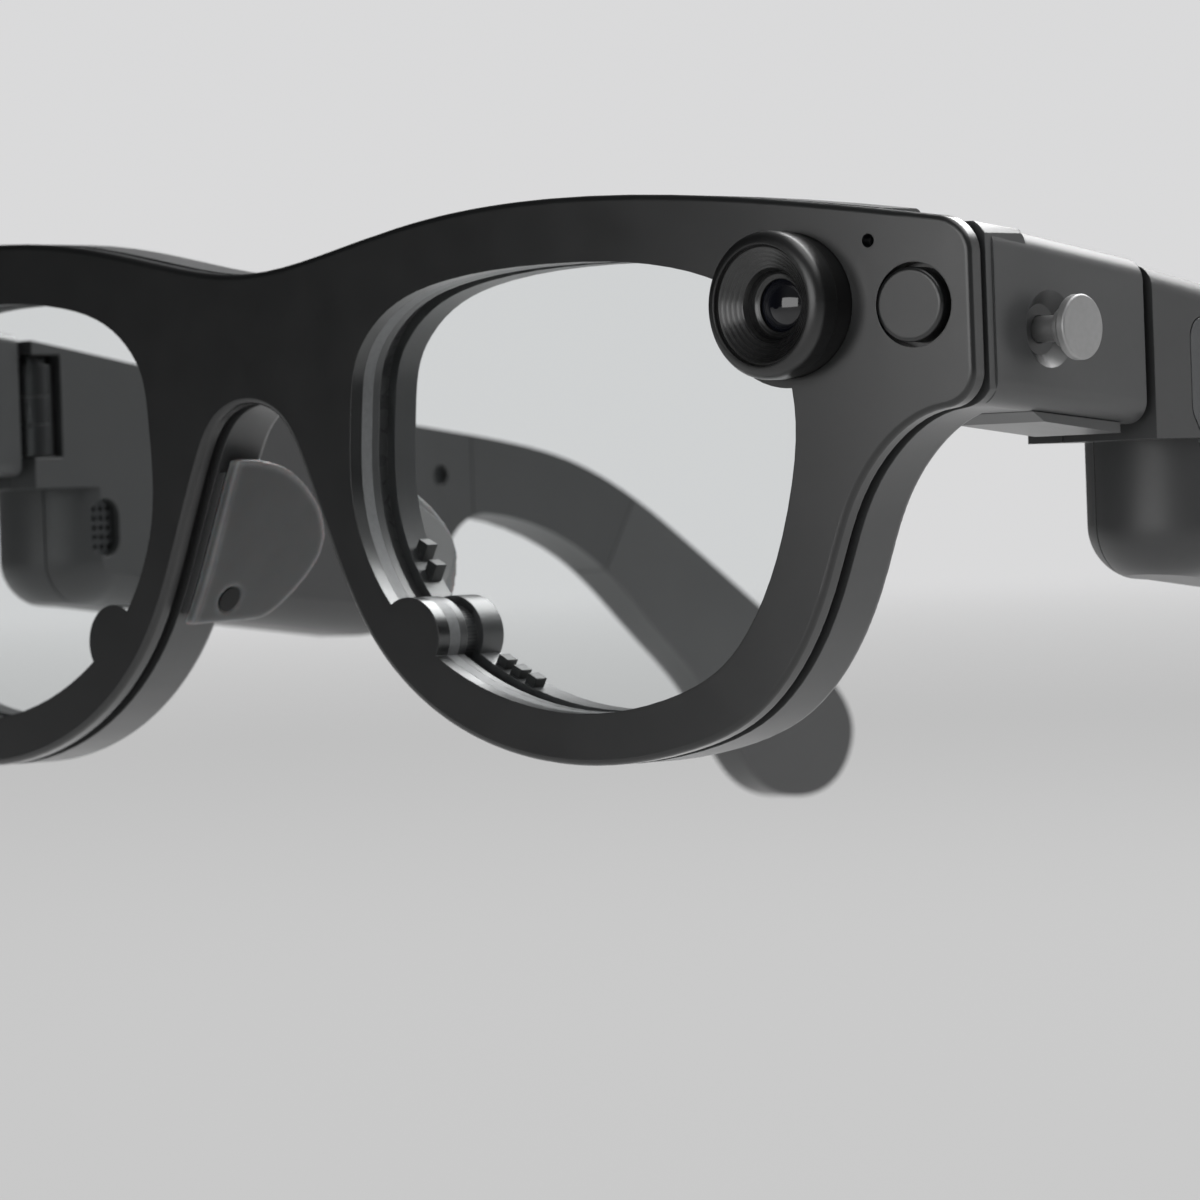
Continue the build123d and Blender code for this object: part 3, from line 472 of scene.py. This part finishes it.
# ---- Stage ----
def floor_finish():
    """Pale floor that fades into the backdrop a few metres away."""
    made = Maker("floor_pale")
    length = made.nodes.new("ShaderNodeVectorMath")
    length.operation = "LENGTH"
    made.link(made.place, length.inputs[0])
    speck = made.noise(0.5, 2)
    made.link(made.blend(made.span(speck, 0, 1), grey(0.60), grey(0.62)), made.shader.inputs["Base Color"])
    made.set(Roughness=0.9, Specular_IOR_Level=0.1)
    glow = made.nodes.new("ShaderNodeEmission")
    glow.inputs["Color"].default_value = (*grey(FLOOR_TONE), 1)
    path = made.nodes.new("ShaderNodeLightPath")
    even = made.nodes.new("ShaderNodeMixShader")
    seen = path.outputs["Is Camera Ray"]
    made.link(made.span(seen, CARD_SHARE, FLOOR_EVEN, 0, 1), even.inputs[0])
    card = made.span(length.outputs["Value"], CARD_LIGHT, 1.0, CARD_INNER, CARD_OUTER)
    unseen = made.math("MULTIPLY", made.math("SUBTRACT", card, 1.0), made.math("SUBTRACT", 1.0, seen))
    made.link(made.math("ADD", unseen, 1.0), glow.inputs["Strength"])
    made.link(made.shader.outputs[0], even.inputs[1])
    made.link(glow.outputs[0], even.inputs[2])
    clear = made.nodes.new("ShaderNodeBsdfTransparent")
    fade = made.span(length.outputs["Value"], 0, 1, 0.30 * FLOOR_RADIUS, 0.95 * FLOOR_RADIUS)
    mix = made.nodes.new("ShaderNodeMixShader")
    made.link(fade, mix.inputs[0])
    made.link(even.outputs[0], mix.inputs[1])
    made.link(clear.outputs[0], mix.inputs[2])
    made.link(mix.outputs[0], made.nodes["Material Output"].inputs["Surface"])
    return made.material


def floor():
    """Round pale floor under the object."""
    mesh = bpy.data.meshes.new("floor")
    shape = bmesh.new()
    bmesh.ops.create_circle(shape, cap_ends=True, segments=96, radius=FLOOR_RADIUS)
    shape.to_mesh(mesh)
    shape.free()
    disc = bpy.data.objects.new("floor", mesh)
    disc.location = (0, 0, CAD_BOX[0].z - FLOOR_DROP)
    bpy.context.scene.collection.objects.link(disc)
    dress(disc, floor_finish())


def room_strength(tree):
    """Room brightness by direction: even, with one dark side that keeps the front's middle deep."""
    place = tree.nodes.new("ShaderNodeTexCoord")
    along = tree.nodes.new("ShaderNodeVectorMath")
    along.operation = "DOT_PRODUCT"
    tree.links.new(place.outputs["Generated"], along.inputs[0])
    turn = radians(DARK_AZIMUTH)
    along.inputs[1].default_value = (sin(turn), -cos(turn), 0)
    ramp = tree.nodes.new("ShaderNodeMapRange")
    ramp.interpolation_type = "SMOOTHSTEP"
    ramp.inputs["From Min"].default_value = 0.15
    ramp.inputs["From Max"].default_value = 0.80
    ramp.inputs["To Min"].default_value = ROOM_LIGHT
    ramp.inputs["To Max"].default_value = DARK_LIGHT
    tree.links.new(along.outputs["Value"], ramp.inputs["Value"])
    return ramp.outputs["Result"]


def backdrop():
    """Seamless pale surround seen by the camera, and a dimmer room for everything else."""
    world = bpy.data.worlds.new("studio")
    bpy.context.scene.world = world
    world.use_nodes = True
    tree = world.node_tree
    seen = tree.nodes["Background"]
    seen.inputs["Color"].default_value = (*BACKDROP_TONE, 1)
    room = tree.nodes.new("ShaderNodeBackground")
    room.inputs["Color"].default_value = (*ROOM_TINT, 1)
    tree.links.new(room_strength(tree), room.inputs["Strength"])
    path = tree.nodes.new("ShaderNodeLightPath")
    mix = tree.nodes.new("ShaderNodeMixShader")
    tree.links.new(path.outputs["Is Camera Ray"], mix.inputs[0])
    tree.links.new(room.outputs[0], mix.inputs[1])
    tree.links.new(seen.outputs[0], mix.inputs[2])
    tree.links.new(mix.outputs[0], tree.nodes["World Output"].inputs["Surface"])


def soft_box(name, azimuth, elevation, distance, size, power):
    """Soft light facing the camera barrel; azimuth 0 is in front of the glasses, 90 on the wearer's left.
    Angles are in degrees, distance and size (width, height) in metres, power in watts."""
    light = bpy.data.lights.new(name, "AREA")
    light.shape = "RECTANGLE"
    light.size, light.size_y = size
    light.energy = power
    lamp = bpy.data.objects.new(name, light)
    turn, tilt = radians(azimuth), radians(elevation)
    out = Vector((sin(turn) * cos(tilt), -cos(turn) * cos(tilt), sin(tilt)))
    lamp.location = FOCUS + out * distance
    lamp.rotation_euler = (-out).to_track_quat("-Z", "Y").to_euler()
    lamp.visible_camera = False
    bpy.context.scene.collection.objects.link(lamp)


def lights():
    """A broad front key, a top light, a narrow strip beside the end piece and a back light."""
    soft_box("key", 7, 4, 1.2, (1.1, 0.8), 12)
    soft_box("top", 120, 66, 1.3, (1.2, 1.2), 12)
    soft_box("side", 137, 4, 0.52, (0.12, 0.40), 0.26)
    soft_box("back", 182, 42, 1.2, (1.0, 0.5), 22)


def camera():
    """Camera at the object's three-quarter front, nearly level, focused on the camera barrel."""
    data = bpy.data.cameras.new("camera")
    data.lens = LENS_LENGTH
    data.sensor_width = SENSOR
    data.clip_start, data.clip_end = 0.02, 60
    back = Vector((
        sin(CAMERA_AZIMUTH) * cos(CAMERA_ELEVATION),
        -cos(CAMERA_AZIMUTH) * cos(CAMERA_ELEVATION),
        sin(CAMERA_ELEVATION),
    ))
    right = (-back).cross(Vector((0, 0, 1))).normalized()
    up = right.cross(-back)
    across = cos(CAMERA_ROLL) * right + sin(CAMERA_ROLL) * up
    above = -sin(CAMERA_ROLL) * right + cos(CAMERA_ROLL) * up
    eye = bpy.data.objects.new("camera", data)
    turned = Matrix((across, above, back)).transposed().to_4x4()
    eye.matrix_world = Matrix.Translation(CAMERA_TARGET + back * CAMERA_DISTANCE) @ turned
    point = bpy.data.objects.new("focus", None)
    point.location = FOCUS
    data.dof.use_dof = True
    data.dof.focus_object = point
    data.dof.aperture_fstop = APERTURE
    for item in (eye, point):
        bpy.context.scene.collection.objects.link(item)
    bpy.context.scene.camera = eye


materials = {make.__name__: make() for make in FINISHES}
dress_frame(materials)
for side in SIDES:
    soft_pad(side, materials["pad_silicone"])
floor()
backdrop()
lights()
camera()
bpy.context.scene.view_settings.view_transform = "Standard"
